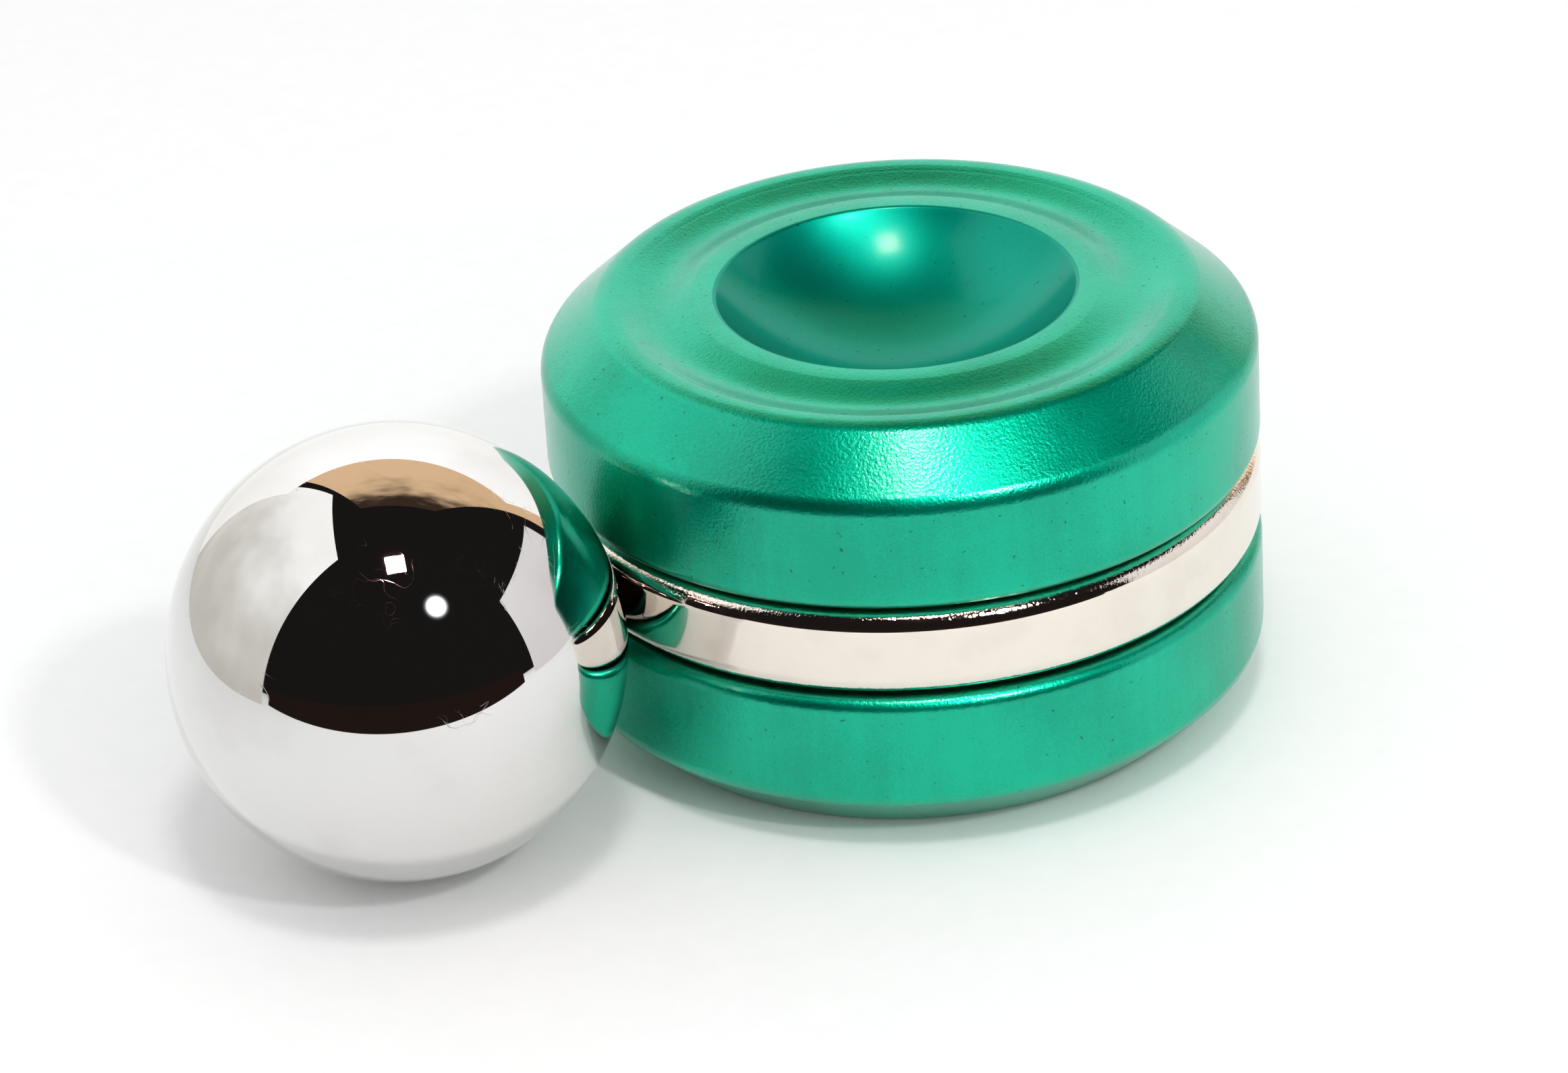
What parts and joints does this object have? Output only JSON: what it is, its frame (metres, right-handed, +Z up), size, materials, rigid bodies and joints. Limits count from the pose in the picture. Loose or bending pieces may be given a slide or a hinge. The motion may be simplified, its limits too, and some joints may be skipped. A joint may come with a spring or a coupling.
{
  "type": "magnetic orbit ball and puck",
  "caption": "Palm-size fidget puck: dished green metal caps clamp a plated ring magnet, and a polished steel ball clings to its rim and rolls round it.",
  "frame": {"origin": "middle of the base of the box that holds the puck and the ball; the puck's axis is 10.025 mm from it on the +X side", "axes": "+Z up along the puck's axis; +X from the ball to the puck, along the longest extent"},
  "size_m": [0.052, 0.032, 0.02],
  "materials": {
    "green_anodised_aluminium": "fine bead-blasted, dyed and sealed green, satin",
    "nickel_plated_magnet": "bright nickel plating with a faint orange peel and small pits",
    "polished_steel": "mirror polished with hairline scratches",
    "black_rubber": "matt black",
    "blackened_steel": "black oxide"
  },
  "bodies": {
    "puck": {"upper_cap": "green_anodised_aluminium", "lower_cap": "green_anodised_aluminium", "ring_magnet": "nickel_plated_magnet", "upper_gasket": "black_rubber", "lower_gasket": "black_rubber", "clamp_stud": "blackened_steel"},
    "ball": {"steel_ball": "polished_steel"}
  },
  "joints": [
    {"name": "ball_orbit", "type": "hinge", "parent": "puck", "child": "ball", "pos_m": [0.01002, 0, 0.00985], "axis": [0, 0, 1], "continuous": true}
  ]
}
